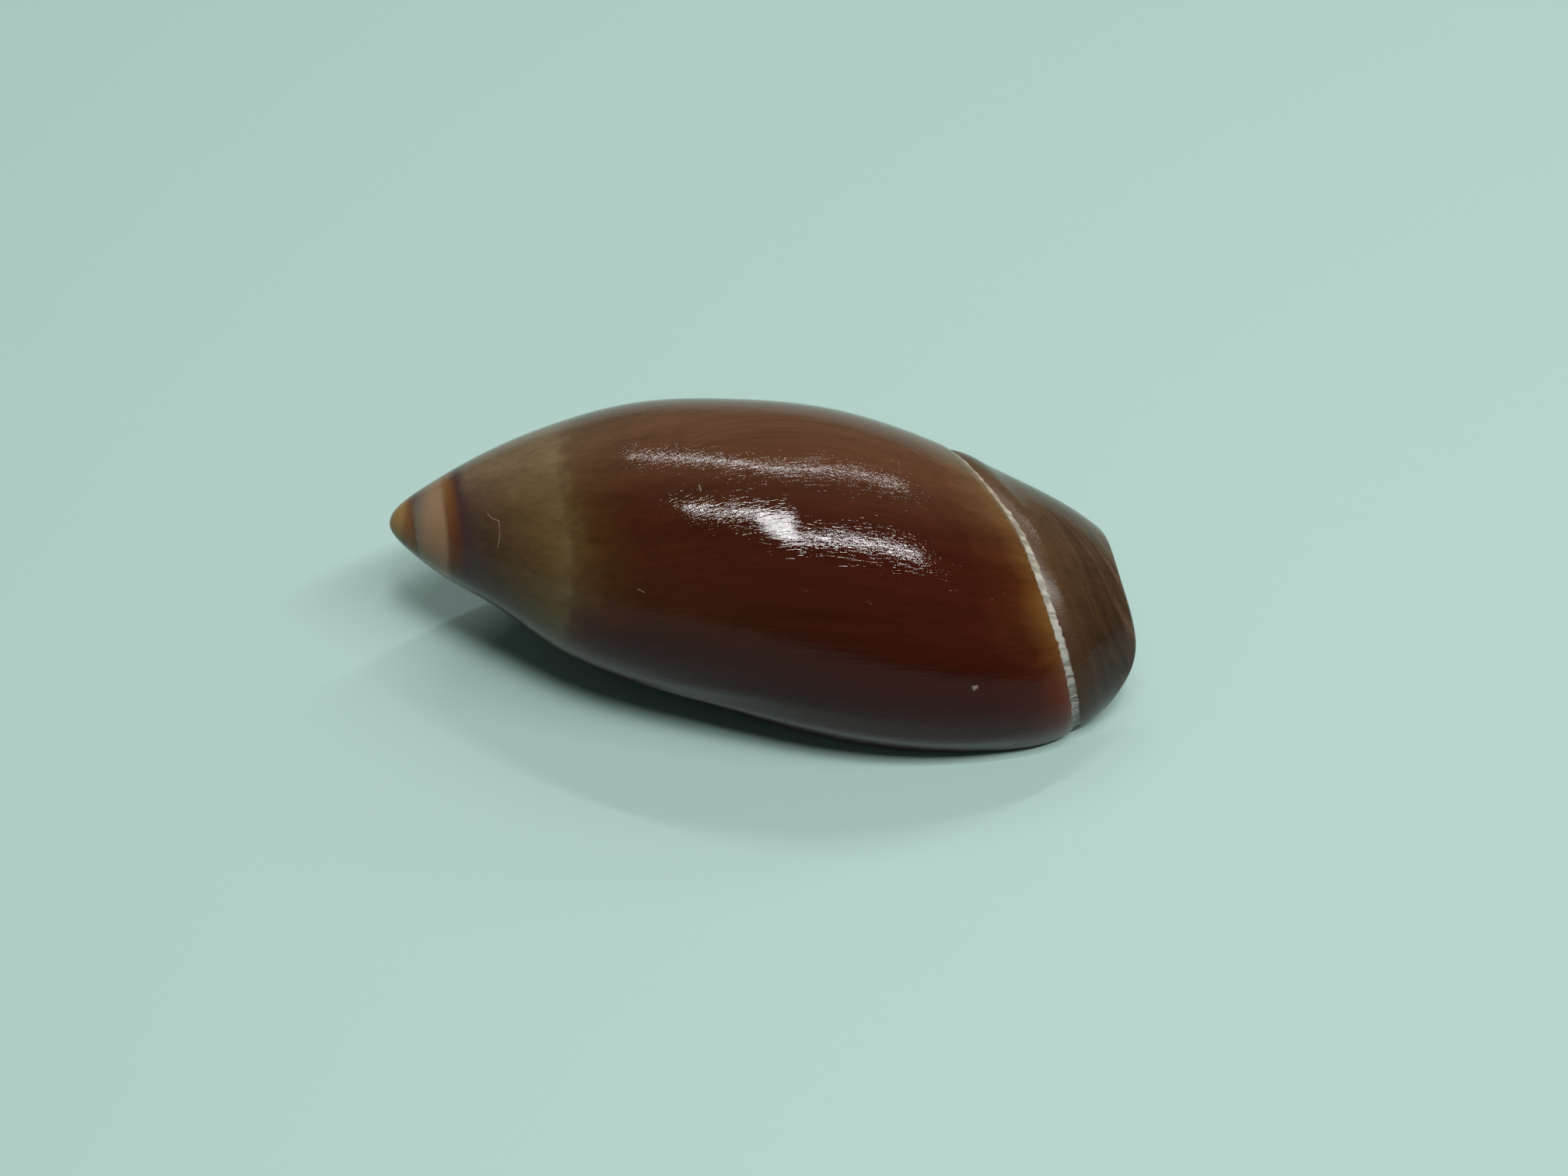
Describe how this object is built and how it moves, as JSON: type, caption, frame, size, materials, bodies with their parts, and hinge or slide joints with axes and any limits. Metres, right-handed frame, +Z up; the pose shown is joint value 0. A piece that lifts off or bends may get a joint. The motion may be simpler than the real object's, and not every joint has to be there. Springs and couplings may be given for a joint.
{
  "type": "seashell",
  "caption": "Glossy spindle-shaped sea snail shell with a pointed spire, a curved groove behind its siphonal band and a long open aperture below.",
  "frame": {"origin": "centre of the shell's footprint box, on the plane it rests on", "axes": "+X towards the siphonal end, away from the spire, +Z up; the outer lip is on the -Y side and the aperture faces down"},
  "size_m": [0.0382, 0.0168, 0.0141],
  "materials": {
    "shell": "glossy natural shell, cinnamon brown with olive, khaki and orange bands and a whitish groove"
  },
  "bodies": {
    "root": {"shell": "shell"}
  },
  "joints": []
}
